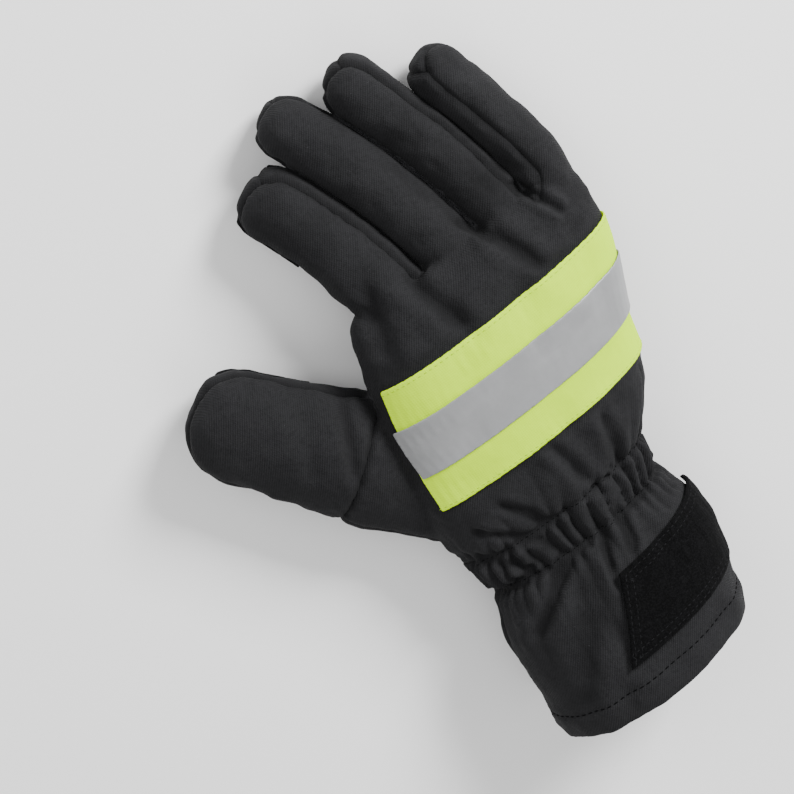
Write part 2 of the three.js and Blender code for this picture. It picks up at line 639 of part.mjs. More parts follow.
// The loop patch on the right of the cuff's back
function loopPatch() {
  return sheet(4, 12, (r, c, out) => {
    const turn = mix(LOOP_PATCH.rightTurn, mix(LOOP_PATCH.leftTurn[1], LOOP_PATCH.leftTurn[0], r), c);
    const back = mix(...LOOP_PATCH.back, c) + LOOP_PATCH.deep * (1 - r);
    return bodyPoint(WRIST_Y - back * CUFF_LENGTH, radians(turn), SEAM_GAP + out, 0);
  }, [0, LOOP_PATCH_THICKNESS]);
}

// The palm patch, round at the heel of the hand and straight across the palm
function palmPatch() {
  return sheet(8, 16, (r, c, out) => {
    const ahead = mix(PALM_PATCH.from, PALM_PATCH.to, r);
    const inHeel = clamp(1 - (ahead - PALM_PATCH.from) / PALM_PATCH.heel, 0, 0.985);
    const y = WRIST_Y + ahead * HAND_LENGTH;
    const wide = PALM_PATCH.share * Math.sqrt(1 - inHeel ** 2) * mix(-1, 1, c);
    const deep = (1 - Math.abs(wide) ** LOW_SQUARENESS) ** (1 / LOW_SQUARENESS);
    const point = bodyPoint(y, Math.atan2(-deep, wide), SEAM_GAP + out);
    return [point[0], point[1], Math.max(PATCH_THICKNESS - out, point[2])];
  }, [0, PATCH_THICKNESS]);
}

// A grip patch under the tip of the thumb or of the index finger
function gripPatch(section, from) {
  const { tip, roundFrom } = section(0, SEAM_GAP);
  return sheet(7, 8, (r, c, out) => {
    const at = mix(mix(roundFrom, tip, GRIP.endShare), from, r);
    const point = sectionPoint(section(at, SEAM_GAP + out), radians(mix(GRIP.from, GRIP.to, c)));
    return [point[0], point[1], Math.max(PATCH_THICKNESS - out, point[2])];
  }, [0, PATCH_THICKNESS]);
}

const indexSection = (at, grow) => fingerSection(0, at, grow);

function piece(name, made, finish) {
  const mesh = made.simplify(FACET_MERGE).getMesh();
  const geometry = new THREE.BufferGeometry();
  geometry.setAttribute('position', new THREE.BufferAttribute(mesh.vertProperties, 3));
  geometry.setIndex(new THREE.BufferAttribute(mesh.triVerts, 1));
  geometry.computeVertexNormals();
  const node = new THREE.Mesh(geometry, new THREE.MeshStandardMaterial(finish));
  node.name = name;
  return node;
}

const glove = new THREE.Group();
glove.add(
  piece('back_panel', backPanel, BLACK_CLOTH),
  piece('palm_panel', palmPanel, BLACK_CLOTH),
  piece('sidewall_index_middle', sidewalls[0], SIDE_CLOTH),
  piece('sidewall_middle_ring', sidewalls[1], SIDE_CLOTH),
  piece('sidewall_ring_little', sidewalls[2], SIDE_CLOTH),
  piece('thumb_back', thumbShell.intersect(aboveThumbSeam(HALF_GAP)), BLACK_CLOTH),
  piece('thumb_palm', thumbShell.subtract(aboveThumbSeam(-HALF_GAP)), BLACK_CLOTH),
  piece('hi_vis_tape', band(TAPE_WIDTH, SEAM_GAP, TAPE_THICKNESS, 4), YELLOW_TAPE),
  piece('reflective_strip', band(STRIP_WIDTH, STRIP_LIFT, STRIP_THICKNESS, 2), SILVER_TAPE),
  piece('loop_patch', loopPatch(), LOOP_TAPE),
  piece('palm_patch', palmPatch(), SUEDE),
  piece('index_grip_patch', gripPatch(indexSection, GRIP.indexFrom * FINGER_LENGTH), SUEDE),
  piece('thumb_grip_patch', gripPatch(thumbSection, GRIP.thumbFrom), SUEDE),
);
export default glove;
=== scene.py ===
"""Looks of a firefighter's glove: cloth, tape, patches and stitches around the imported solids."""

import math

import bpy
import numpy as np
from mathutils import Matrix, Vector
from mathutils.bvhtree import BVHTree


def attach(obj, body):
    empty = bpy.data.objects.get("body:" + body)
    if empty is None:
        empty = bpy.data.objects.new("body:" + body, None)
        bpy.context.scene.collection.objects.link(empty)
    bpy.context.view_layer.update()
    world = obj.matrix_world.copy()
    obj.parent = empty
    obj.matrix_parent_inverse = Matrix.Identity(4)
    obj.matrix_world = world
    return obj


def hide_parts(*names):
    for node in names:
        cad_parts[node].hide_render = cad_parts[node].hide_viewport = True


bl_info = {
    "name": "Firefighter glove",
    "version": (1, 0, 0),
    "blender": (4, 5, 0),
    "location": "View3D > Sidebar > Glove",
    "description": "Dresses the solids of a firefighter's glove in cloth, tape, patches and stitches",
    "category": "Object",
}

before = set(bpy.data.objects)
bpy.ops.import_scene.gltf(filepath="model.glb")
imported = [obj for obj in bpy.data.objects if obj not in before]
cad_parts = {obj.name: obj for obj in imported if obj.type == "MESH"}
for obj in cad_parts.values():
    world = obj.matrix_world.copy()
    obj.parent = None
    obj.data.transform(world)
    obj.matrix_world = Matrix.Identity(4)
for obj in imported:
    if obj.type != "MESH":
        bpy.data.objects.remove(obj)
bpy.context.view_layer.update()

MM = 0.001
SAME_POINT = 1e-6
BODY = "root"

# The cloth shell: CAD node, name of its finished piece, width of its mesh cells and swelling in mm.
PANELS = [
    {"node": "back_panel", "piece": "back_cloth", "cell": 0.95},
    {"node": "palm_panel", "piece": "palm_cloth", "cell": 1.0},
    {"node": "sidewall_index_middle", "piece": "sidewall_cloth_index_middle", "cell": 0.42,
     "swell": 0.55},
    {"node": "sidewall_middle_ring", "piece": "sidewall_cloth_middle_ring", "cell": 0.42, "swell": 0.55},
    {"node": "sidewall_ring_little", "piece": "sidewall_cloth_ring_little", "cell": 0.42, "swell": 0.55},
    {"node": "thumb_back", "piece": "thumb_back_cloth", "cell": 0.8},
    {"node": "thumb_palm", "piece": "thumb_palm_cloth", "cell": 0.8},
]

# Trim sewn on the shell: CAD node, name of its finished piece, finish and longest mesh edge in mm.
TRIM = [
    {"node": "hi_vis_tape", "piece": "yellow_tape", "finish": "yellow", "edge": 1.3},
    {"node": "reflective_strip", "piece": "silver_strip", "finish": "silver", "edge": 1.3},
    {"node": "loop_patch", "piece": "loop_fastener", "finish": "loops", "edge": 1.0},
    {"node": "palm_patch", "piece": "palm_suede", "finish": "suede", "edge": 1.4},
    {"node": "index_grip_patch", "piece": "index_suede", "finish": "suede", "edge": 0.9},
    {"node": "thumb_grip_patch", "piece": "thumb_suede", "finish": "suede", "edge": 0.9},
]

# Sections of the wrist, in mm: y, middle across, half width, middle height and top height.
WRIST = {
    "y": (-127.0, -94.6, -76.6, -65.1, -55.0, -43.6, -26.5, 8.0),
    "across": (-21.7, -14.5, -12.7, -11.5, -11.9, -10.7, -5.0, 1.5),
    "half": (42.6, 45.5, 45.1, 40.0, 40.4, 44.0, 51.2, 53.4),
    "mid": (28.5, 27.3, 25.4, 22.9, 22.1, 22.1, 22.6, 24.0),
    "top": (62.0, 57.0, 51.5, 44.6, 41.6, 43.5, 45.4, 46.5),
}
# Folds and dents of the back in plan, in mm: start, end, width and depth.
CREASES = [
    ((-25.6, -63.8), (-48.3, -79.0), 4.5, 2.2),
    ((-5.4, -60.7), (-13.5, -78.6), 3.2, 1.4),
    ((28.4, 55.2), (35.1, 37.3), 6.0, 1.7),
    ((-5.6, 58.9), (0.2, 33.9), 7.0, 1.6),
    ((-18.6, -48.9), (-29.7, -30.0), 4.0, 1.6),
    ((-1.8, -21.5), (2.3, -47.6), 5.0, 1.8),
    ((19.9, -27.2), (15.3, -48.0), 4.5, 1.7),
    ((-27.6, -49.8), (-42.9, -34.0), 3.5, 1.4),
    ((-52.7, -64.6), (-36.7, -59.1), 4.0, 2.2),
    ((3.6, -61.5), (-2.4, -78.6), 4.0, 2.1),
    ((-9.6, -66.4), (-13.5, -80.3), 3.0, 1.0),
    ((-21.5, 65.9), (-28.5, 46.4), 8.0, 1.4),
    ((-34.1, -88.7), (-49.2, -109.3), 8.0, 1.1),
    ((52.2, 36.8), (45.7, 10.5), 8.0, 1.0),
    ((-54.2, 35.4), (-66.1, 14.9), 5.0, 1.3),
    ((-64.9, 49.3), (-77.7, 24.8), 8.0, 0.8),
    ((46.5, 63.0), (53.2, 48.9), 3.2, 1.8),
    ((22.5, 64.5), (25.8, 57.8), 3.2, 1.3),
    ((-52.3, -42.1), (-38.8, -53.8), 5.0, 1.4),
]
GATHER_ROWS = (-47.0, -62.0)
GATHER_RIBS = 19
HEM_Y = -127.0
HEM_STITCH = 11.0

# Ribs and cross threads of the twill: direction of the wave on a face, rate and waviness.
RIBS = {"across": 0.788, "along": -0.616, "rate": 1.0, "wander": 1.5}
PICKS = {"across": 0.35, "along": 0.94, "rate": 1.3, "wander": 2.0}

# Making of a panel, in mm: rounds of smoothing, swelling of the cloth and of its cut edges at a seam,
# how far seams and trim are felt, and the least and most that the relief moves the cloth.
SMOOTHING = 7
SWELL = 0.22
SEAM_SWELL = 0.75
SEAM_ROLL = 1.5
SEAM_REACH = 14
# Width in mm of the painted shade along a seam.
SEAM_SHADE = 1.6
TRIM_REACH = 7
RELIEF_LIMITS = (-2.4, 3.0)
# How deep in mm the relief sinks where painted shade in its creases begins and where it is full.
CREASE_SHADE = (0.3, 1.9)
# How much of the blurred bulk lies round a point where the outside ends and where the lining begins.
OUTSIDE_ENDS = (0.80, 0.97)
LINING_BEGINS = (0.86, 0.97)

# Relief of the cloth, in mm. Shares are of the heights in the settings.
GROOVE_WIDTH = 1.25
RIDGE = {"height": 0.22, "off": 3.4, "width": 1.9}
PUCKERS = [{"size": 3.4, "share": 1.0, "reach": 4.5}, {"size": 7.5, "share": 0.7, "reach": 9}]
DENTS = [{"size": 24, "share": 0.62}, {"size": 12, "share": 0.38}, {"size": 5.5, "share": 0.16}]
HEM_RELIEF = {"deep": 0.45, "width": 0.9, "wave": 0.28, "size": 6.0, "reach": 6.0}
BARE_FROM_TRIM = (0.8, 5.0)
ROUND_FROM_FLOOR = (0.2, 7.0)
PUCKERS_UNDER_TRIM = 0.25
FOLDS_UNDER_TRIM = 0.35
RELIEF_ON_FLOOR = 0.12
CREASE_STRENGTH = 1.25
CREASE_RIM = {"share": 0.35, "off": 2.0, "width": 1.2}
CREASE_END = 1.6
CREASE_HEIGHTS = (14, 24)

# Gathers, in mm: sway of the ribs, reach of the folds past the rows, and the pinch at a row.
SWAY = {"size": 11, "turn": 0.035, "stretch": 0.35}
RIB_SHARPNESS = 0.85
FOLD_SHARPNESS = 0.6
FOLDS_UP = 13
FOLDS_DOWN = 17
FAN_REACH = 16
PINCH_WIDTH = 1.7
PINCH_DEPTH = 0.5
PINCH_LUMPS = {"size": 2.6, "share": 0.4}
PALM_SHARE = 0.25

# Laying of the trim, in mm: gap to the cloth, most height over the shell, room made under it, and the
# lowest that cloth, trim and thread come to the floor.
TRIM_GAP = 0.12
TALLEST_TRIM = 2.6
TRIM_ROOM = 1.1
TRIM_ROOM_FADE = (0.5, 4.0)
CLOTH_FLOOR = 0.15
TRIM_FLOOR = 0.25
STITCH_FLOOR = 0.33

# Patches with two rows of stitches: thread, size of the stitches, whether the patch is seen from
# above, and lift in mm.
STITCHED = [
    ("palm_patch", "black", "plain", False, 0.05),
    ("index_grip_patch", "black", "fine", False, 0.05),
    ("thumb_grip_patch", "black", "fine", False, 0.05),
    ("loop_patch", "soft", "fine", True, -0.05),
]
# Rows from an edge and points along them, in mm, turn of the gathers in degrees, and how far away
# rays start, in metres.
STITCH_INSETS = (2.0, 4.6)
TAPE_INSET = 1.5
ROW_SPACING = 1.0
GATHER_TURNS = (4, 176)
GATHER_SINK = -0.1
RAY_DROP = 0.2
RAY_ROUND = 0.12

# Lamps: place and width in metres, and share of the main light.
LAMPS = [
    ("key", (1.0, 0.45, 0.75), 0.45, 1.0),
    ("fill", (-0.45, 0.9, 0.8), 0.9, 0.2),
    ("back", (-0.3, -0.9, 0.9), 0.9, 0.15),
]
LAMP_AIM = Vector((0, 0, 0.02))
SKY = 0.6
FLOOR_REACH = 3.0


def tint(name, description, default):
    """A setting for a colour."""
    return bpy.props.FloatVectorProperty(
        name=name, description=description, subtype="COLOR", size=3, default=default, min=0, max=1)


def span(name, description, default, least):
    """A setting for a distance in mm, kept in metres."""
    return bpy.props.FloatProperty(
        name=name, description=description, subtype="DISTANCE", default=default * MM, min=least * MM)


def number(name, description, default):
    """A setting for a number from 0 up."""
    return bpy.props.FloatProperty(name=name, description=description, default=default, min=0)


class ClothSettings(bpy.types.PropertyGroup):
    colour: tint("Cloth", "Colour of the outer twill", (0.0095, 0.0095, 0.0102))
    lining: tint("Lining", "Colour of the fleece inside", (0.035, 0.035, 0.038))
    twill: span("Twill", "Distance between two ribs of the twill, in metres", 0.85, 0.2)
    groove: number("Seam groove", "Depth of the groove along a seam, in mm", 0.75)
    pucker: number("Pucker", "Height of the puckers beside a seam, in mm", 0.34)
    crumple: number("Crumple", "Height of the soft dents all over, in mm", 1.45)
    gather: number("Gathers", "Height of the gathered ribs at the wrist, in mm", 3.3)


class TrimSettings(bpy.types.PropertyGroup):
    # The tape's colour is also the colour of its painted glow.
    yellow: tint("Tape", "Colour of the fluorescent tape", (0.47, 0.74, 0.0))
    silver: tint("Strip", "Colour of the reflective strip", (0.24, 0.243, 0.247))
    suede: tint("Suede", "Colour of the grip patches", (0.0055, 0.0055, 0.006))
    loops: tint("Loop fabric", "Colour of the loop patch", (0.0022, 0.0022, 0.0024))


class StitchSettings(bpy.types.PropertyGroup):
    pitch: span("Pitch", "Distance from stitch to stitch", 3.0, 0.5)
    length: span("Length", "Length of the thread that shows", 2.3, 0.3)
    thread: span("Thread", "Radius of the thread", 0.28, 0.05)
    colour: tint("Thread colour", "Colour of the black thread", (0.0026, 0.0026, 0.0028))


class StageSettings(bpy.types.PropertyGroup):
    floor: tint("Floor", "Colour of the floor", (0.90, 0.90, 0.90))
    light: number("Light", "Strength of the main light, in watts", 38.0)


class Value:
    """A number or colour on its way through a material, with the usual operators for numbers."""

    def __init__(self, finish, socket):
        self.finish = finish
        self.socket = socket

    def maths(self, operation, *values):
        return self.finish.node("ShaderNodeMath", {"operation": operation}, dict(enumerate(values)))

    def __add__(self, other):
        return self.maths("ADD", self, other)

    def __sub__(self, other):
        return self.maths("SUBTRACT", self, other)

    def __mul__(self, other):
        return self.maths("MULTIPLY", self, other)

    def __truediv__(self, other):
        return self.maths("DIVIDE", self, other)

    __radd__ = __add__

    def sine(self):
        return self.maths("SINE", self)

    def between(self, low, high):
        """0 below low, 1 above high, with a smooth step between them."""
        return self.finish.node(
            "ShaderNodeMapRange", {"interpolation_type": "SMOOTHSTEP"},
            {"Value": self, "From Min": low, "From Max": high, "To Min": 0.0, "To Max": 1.0})


class Finish:
    """A procedural material under construction."""

    def __init__(self, name):
        self.material = bpy.data.materials.new(name)
        self.material.use_nodes = True
        self.tree = self.material.node_tree
        self.tree.nodes.clear()
        self.place = self.node("ShaderNodeTexCoord", output="Object")

    def node(self, kind, settings=None, values=None, output=0):
        made = self.tree.nodes.new(kind)
        for key, setting in (settings or {}).items():
            setattr(made, key, setting)
        for key, value in (values or {}).items():
            if isinstance(value, Value):
                self.tree.links.new(value.socket, made.inputs[key])
            else:
                made.inputs[key].default_value = value
        return Value(self, made.outputs[output])

    def noise(self, size, detail=2.0, rough=0.5):
        """Noise with lumps of about this size in mm, from 0 to 1."""
        return self.node(
            "ShaderNodeTexNoise", {},
            {"Vector": self.place, "Scale": 1 / (size * MM), "Detail": detail, "Roughness": rough})

    def axes(self, place=None):
        """The three coordinates, in metres."""
        split = self.node("ShaderNodeSeparateXYZ", {}, {0: place or self.place})
        return [Value(self, output) for output in split.socket.node.outputs]

    def mix(self, amount, first, second):
        made = self.tree.nodes.new("ShaderNodeMix")
        made.data_type = "RGBA"
        for key, value in (("Factor", amount), ("A", first), ("B", second)):
            target = next(s for s in made.inputs if s.name == key and s.enabled)
            if isinstance(value, Value):
                self.tree.links.new(value.socket, target)
            else:
                target.default_value = value
        return Value(self, next(s for s in made.outputs if s.enabled))

    def bump(self, height, depth, strength=1.0, under=None):
        """Relief of this height map, depth in mm."""
        values = {"Height": height, "Distance": depth * MM, "Strength": strength}
        if under is not None:
            values["Normal"] = under
        return self.node("ShaderNodeBump", {}, values)

    def close(self, colour, rough, normal, **plain):
        """Ends the material. plain holds the other sockets of the shader, the same all over."""
        shader = self.tree.nodes.new("ShaderNodeBsdfPrincipled")
        for key, value in {"Base Color": colour, "Roughness": rough, "Normal": normal}.items():
            if isinstance(value, Value):
                self.tree.links.new(value.socket, shader.inputs[key])
            elif value is not None:
                shader.inputs[key].default_value = value
        for key, value in plain.items():
            shader.inputs[key.replace("_", " ")].default_value = value
        out = self.tree.nodes.new("ShaderNodeOutputMaterial")
        self.tree.links.new(shader.outputs[0], out.inputs[0])
        return self.material


def shade(colour, factor):
    """A setting's colour made darker or lighter, with the alpha that a socket needs."""
    return tuple(min(1.0, c * factor) for c in colour) + (1.0,)


def weave_on_faces(make, spacing, wave):
    """Ribs and cross threads of a twill, laid on from the side, from the front and from above."""
    x, y, z = make.axes()
    facing = make.axes(make.node("ShaderNodeTexCoord", output="Normal"))
    weights = [axis * axis * axis * axis for axis in facing]
    total = weights[0] + weights[1] + weights[2]
    turn = 2 * math.pi / spacing

    def threads(row, across, along):
        course = across * row["across"] + along * row["along"]
        return (course * (turn * row["rate"]) + wave * row["wander"]).sine()

    ribs, picks = 0, 0
    for (across, along), weight in zip(((y, z), (x, z), (x, y)), weights):
        share = weight / total
        ribs = threads(RIBS, across, along) * share + ribs
        picks = threads(PICKS, across, along) * share + picks
    return ribs, picks


def twill_cloth(settings):
    """Outer twill, with fleece where the piece's lining attribute says so."""
    make = Finish("charcoal_twill")
    wave = make.noise(9.0, detail=1.0)
    ribs, picks = weave_on_faces(make, settings.twill, wave)
    threads = make.noise(0.45, detail=2.0, rough=0.6)
    patchy = make.noise(22.0, detail=3.0, rough=0.55)
    lint = make.noise(0.7, detail=1.0).between(0.71, 0.80)
    weave = ribs * 0.35 + picks * 0.15 + threads * 0.9
    inside = make.node("ShaderNodeAttribute", {"attribute_name": "lining"}, output="Fac")
    seam = make.node("ShaderNodeAttribute", {"attribute_name": "seam"}, output="Fac")
    worn = make.noise(1.5, detail=2.0, rough=0.6).between(0.45, 0.7)
    cloth = make.mix(patchy.between(0.25, 0.8), shade(settings.colour, 0.78), shade(settings.colour, 1.22))
    cloth = make.mix((ribs * 0.5 + 0.5) * 0.42 + threads * 0.3, cloth, shade(settings.colour, 2.1))
    cloth = make.mix(worn * 0.3, cloth, shade(settings.colour, 0.45))
    # Painted shade along the seams and in the creases, from the seam attribute, darkens the twill.
    cloth = make.mix(seam * 0.6, cloth, shade(settings.colour, 0.5))
    cloth = make.mix(lint * 0.22, cloth, shade(settings.colour, 6.0))
    pile = make.noise(1.6, detail=3.0, rough=0.65)
    fleece = make.mix(pile, shade(settings.lining, 0.55), shade(settings.lining, 1.4))
    colour = make.mix(inside, cloth, fleece)
    crumple = make.bump(make.noise(5.5, detail=3.0, rough=0.55), 0.8, 0.7)
    normal = make.bump(weave, 0.15, 0.9, crumple)
    rough = 0.80 + patchy * 0.12 + inside * 0.05
    return make.close(colour, rough, normal, Sheen_Weight=0.015, Sheen_Roughness=0.5,
                      Specular_IOR_Level=0.10)


def yellow_tape(settings):
    """Fluorescent woven tape with a fine square grain and a painted glow."""
    make = Finish("fluorescent_tape_painted_glow")
    x, y, z = make.axes()
    grain = 2 * math.pi / (0.8 * MM)
    warp = ((y * 0.95 + z * 0.3) * grain).sine()
    weft = ((x * 0.95 - z * 0.3) * grain).sine()
    weave = warp * 0.3 + weft * 0.3 + make.noise(0.5, detail=2.0)
    soil = make.noise(16.0, detail=4.0, rough=0.6)
    soiled = soil.between(0.35, 0.8) * 0.5
    colour = make.mix(soiled, shade(settings.yellow, 1.0), shade(settings.yellow, 0.86))
    colour = make.mix((warp * 0.5 + 0.5) * 0.18, colour, shade(settings.yellow, 0.7))
    dents = make.bump(make.noise(7.0, detail=2.0), 0.5, 0.45)
    normal = make.bump(weave, 0.05, 0.7, dents)
    # A weak yellow emission paints a glow on the tape, brighter than the lamps alone make it.
    return make.close(colour, 0.62 + soil * 0.15, normal, Specular_IOR_Level=0.03,
                      Emission_Color=shade(settings.yellow, 1.0), Emission_Strength=0.25)


def silver_strip(settings):
    """Silver reflective strip, finely grained."""
    make = Finish("reflective_silver")
    soil = make.noise(18.0, detail=4.0, rough=0.6)
    beads = make.noise(0.35, detail=2.0, rough=0.7)
    colour = make.mix(soil.between(0.3, 0.8), shade(settings.silver, 0.90), shade(settings.silver, 1.1))
    colour = make.mix(beads * 0.3, colour, shade(settings.silver, 1.35))
    dents = make.bump(make.noise(7.0, detail=2.0), 0.5, 0.45)
    normal = make.bump(beads, 0.03, 0.6, dents)
    return make.close(colour, 0.42 + soil * 0.16, normal, Metallic=0.25)


def suede(settings):
    """Black suede of the grip patches."""
    make = Finish("black_suede")
    nap = make.noise(0.9, detail=4.0, rough=0.7)
    rubbed = make.noise(7.0, detail=3.0, rough=0.6)
    colour = make.mix(rubbed.between(0.3, 0.75), shade(settings.suede, 0.75), shade(settings.suede, 1.6))
    colour = make.mix(nap.between(0.55, 0.8) * 0.5, colour, shade(settings.suede, 2.6))
    normal = make.bump(nap, 0.16, 0.8, make.bump(rubbed, 0.5, 0.5))
    return make.close(colour, 0.88 + nap * 0.1, normal, Sheen_Weight=0.02, Sheen_Roughness=0.5,
                      Specular_IOR_Level=0.1)


def loop_cloth(settings):
    """Black loop fabric, a dense curly pile."""
    make = Finish("loop_fabric")
    curls = make.noise(0.75, detail=3.0, rough=0.75)
    tufts = make.noise(3.2, detail=2.0, rough=0.6)
    colour = make.mix(curls.between(0.4, 0.75), shade(settings.loops, 0.55), shade(settings.loops, 2.3))
    colour = make.mix(tufts.between(0.45, 0.8) * 0.4, colour, shade(settings.loops, 2.4))
    normal = make.bump(curls, 0.35, 1.0, make.bump(tufts, 0.4, 0.5))
    return make.close(colour, 0.95, normal, Sheen_Weight=0.01, Sheen_Roughness=0.6,
                      Specular_IOR_Level=0.05)


def thread(name, colour):
    """Twisted sewing thread."""
    make = Finish(name)
    twist = make.noise(0.4, detail=1.0)
    tone = make.mix(twist, shade(colour, 0.7), shade(colour, 1.4))
    return make.close(tone, 0.9, make.bump(twist, 0.05), Specular_IOR_Level=0.03)


def listed(items, key, kind=float, width=3):
    """One property of many mesh elements, as rows of this width."""
    values = np.empty(len(items) * width, dtype=kind)
    items.foreach_get(key, values)
    return values.reshape(-1, width)


def meshed(name, points, edges, faces):
    mesh = bpy.data.meshes.new(name)
    mesh.from_pydata(points, edges, faces)
    return mesh


def placed(name, data):
    """A new object in the scene."""
    obj = bpy.data.objects.new(name, data)
    bpy.context.scene.collection.objects.link(obj)
    return obj


def triangles_of(name):
    """A CAD node's corner points in metres and its triangles, with doubled points merged."""
    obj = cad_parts[name]
    mesh = obj.data
    place = np.array(obj.matrix_world)
    points = listed(mesh.vertices, "co") @ place[:3, :3].T + place[:3, 3]
    mesh.calc_loop_triangles()
    faces = listed(mesh.loop_triangles, "vertices", np.int64)
    _, first, back = np.unique(np.round(points / SAME_POINT).astype(np.int64), axis=0,
                               return_index=True, return_inverse=True)
    faces = back.ravel()[faces].reshape(-1, 3)
    whole = (faces[:, 0] != faces[:, 1]) & (faces[:, 1] != faces[:, 2]) & (faces[:, 2] != faces[:, 0])
    return points[first], faces[whole]


def face_normals(points, faces):
    """Normals of the triangles, as long as twice their areas."""
    a, b, c = (points[faces[:, k]] for k in range(3))
    return np.cross(b - a, c - a)


def sides_of(faces):
    """The three sides of each triangle, all first sides before all second ones."""
    return np.sort(np.vstack([faces[:, [0, 1]], faces[:, [1, 2]], faces[:, [2, 0]]]), axis=1)


def blended(grid, base, share):
    """Values between the eight cells of a grid from base on."""
    total = np.zeros(len(base))
    for corner in range(8):
        step = np.array([corner & 1, corner >> 1 & 1, corner >> 2 & 1])
        weight = np.prod(np.where(step, share, 1 - share), axis=1)
        total += weight * grid[tuple(((base + step) % grid.shape).T)]
    return total


def unit(vectors):
    return vectors / np.maximum(np.linalg.norm(vectors, axis=1, keepdims=True), 1e-12)


class Facets:
    """A CAD node's triangles, which can say where the round surface they stand for lies."""

    CREASE = math.cos(math.radians(48))
    ROUNDNESS = 0.8
    FURTHEST = 1.2 * MM

    def __init__(self, points, faces):
        self.points = points
        self.faces = faces
        area = face_normals(points, faces)
        flat = unit(area)
        around = [[] for _ in points]
        for index, face in enumerate(faces):
            for corner in face:
                around[corner].append(index)
        corners = np.empty((len(faces), 3, 3))
        for index, face in enumerate(faces):
            for k, corner in enumerate(face):
                near = np.array(around[corner])
                near = near[flat[near] @ flat[index] > self.CREASE]
                corners[index, k] = area[near].sum(axis=0) if len(near) else flat[index]
        self.corners = corners / np.maximum(np.linalg.norm(corners, axis=2, keepdims=True), 1e-12)
        self.tree = BVHTree.FromPolygons(points.tolist(), faces.tolist())

    def rounded(self, points):
        """Each point moved to the round surface nearest to it."""
        hits = [self.tree.find_nearest(p) for p in points.tolist()]
        place = np.array([hit[0] for hit in hits])
        face = np.array([hit[2] for hit in hits])
        a, b, c = (self.points[self.faces[face, k]] for k in range(3))
        ab, ac, ap = b - a, c - a, place - a
        d00, d01, d11 = (ab * ab).sum(1), (ab * ac).sum(1), (ac * ac).sum(1)
        d20, d21 = (ap * ab).sum(1), (ap * ac).sum(1)
        scale = np.maximum(d00 * d11 - d01 * d01, 1e-18)
        second = np.clip((d11 * d20 - d01 * d21) / scale, 0, 1)
        third = np.clip((d00 * d21 - d01 * d20) / scale, 0, 1)
        shares = np.stack([1 - second - third, second, third], axis=1).clip(0, 1)
        move = np.zeros_like(place)
        for k, corner in enumerate((a, b, c)):
            normal = self.corners[face, k]
            move -= shares[:, k:k + 1] * ((place - corner) * normal).sum(1, keepdims=True) * normal
        length = np.linalg.norm(move, axis=1, keepdims=True)
        limit = np.minimum(1.0, self.FURTHEST / np.maximum(length, 1e-12))
        return place + self.ROUNDNESS * limit * move


class Bulk:
    """The glove as one filled, blurred volume: how deep a point lies and which way is out."""

    STEP = 1.5 * MM
    BLUR = 4
    MARGIN = 8
    GRAIN = 0.5 * MM
    SEED = 7

    def __init__(self, shapes):
        points = []
        dice = np.random.default_rng(self.SEED)
        for corners, faces in shapes:
            area = np.linalg.norm(face_normals(corners, faces), axis=1) / 2
            count = int(area.sum() / self.GRAIN ** 2)
            face = faces[dice.choice(len(faces), size=count, p=area / area.sum())]
            u, v = dice.random(count), dice.random(count)
            over = u + v > 1
            u[over], v[over] = 1 - u[over], 1 - v[over]
            a, b, c = corners[face[:, 0]], corners[face[:, 1]], corners[face[:, 2]]
            points.append(a + u[:, None] * (b - a) + v[:, None] * (c - a))
        points = np.vstack(points)
        self.low = points.min(axis=0) - self.MARGIN * self.STEP
        shape = np.ceil((points.max(axis=0) - self.low) / self.STEP).astype(int) + self.MARGIN
        walls = np.zeros(shape, dtype=bool)
        walls[tuple(np.floor((points - self.low) / self.STEP).astype(int).T)] = True
        self.fill = self.blurred(self.filled(walls))
        self.slope = [np.gradient(self.fill, axis=axis).astype(np.float32) for axis in range(3)]

    @staticmethod
    def filled(walls):
        """Everything that air from outside can't reach within a section across the fingers."""
        air = np.zeros_like(walls)
        air[[0, -1]] = True
        air[:, :, [0, -1]] = True
        while True:
            grown = air.copy()
            grown[1:] |= air[:-1]
            grown[:-1] |= air[1:]
            grown[:, :, 1:] |= air[:, :, :-1]
            grown[:, :, :-1] |= air[:, :, 1:]
            grown &= ~walls
            if (grown == air).all():
                return (~air).astype(np.float32)
            air = grown

    def blurred(self, fill):
        for _ in range(self.BLUR):
            for axis in range(3):
                fill = (np.roll(fill, 1, axis) + 2 * fill + np.roll(fill, -1, axis)) / 4
        return fill

    def sample(self, grid, points):
        spot = (points - self.low) / self.STEP - 0.5
        base = np.clip(np.floor(spot).astype(int), 0, np.array(grid.shape) - 2)
        return blended(grid, base, np.clip(spot - base, 0, 1))

    def outward(self, points):
        return unit(-np.stack([self.sample(slope, points) for slope in self.slope], axis=1))

    def depth(self, points):
        return self.sample(self.fill, points)


class Noise:
    """Smooth repeatable noise from -1 to 1 in space."""

    SIZE = 32
    REACH = 1.6

    def __init__(self, seed):
        self.grid = np.random.default_rng(seed).uniform(-1, 1, (self.SIZE,) * 3)

    def at(self, points, size):
        """The noise at points in metres, with lumps of this size in mm."""
        spot = points / (size * MM) + 100
        base = np.floor(spot).astype(int)
        share = spot - base
        return blended(self.grid, base, share * share * (3 - 2 * share)) * self.REACH


def step_between(low, high, values):
    t = np.clip((values - low) / (high - low), 0, 1)
    return t * t * (3 - 2 * t)


def bell(values, width):
    return np.exp(-((values / width) ** 2))


def baked(obj):
    """The mesh that an object's modifiers make."""
    return bpy.data.meshes.new_from_object(obj.evaluated_get(bpy.context.evaluated_depsgraph_get()))


def tree_of(shape):
    """A shape of points and triangles, ready for rays and nearest points."""
    return BVHTree.FromPolygons(shape[0].tolist(), shape[1].tolist())


def distances(tree, points, far):
    """Distance in mm from each point to the surface in the tree, at most far."""
    found = (tree.find_nearest(p, far * MM) for p in points.tolist())
    return np.array([far if hit[3] is None else hit[3] / MM for hit in found])


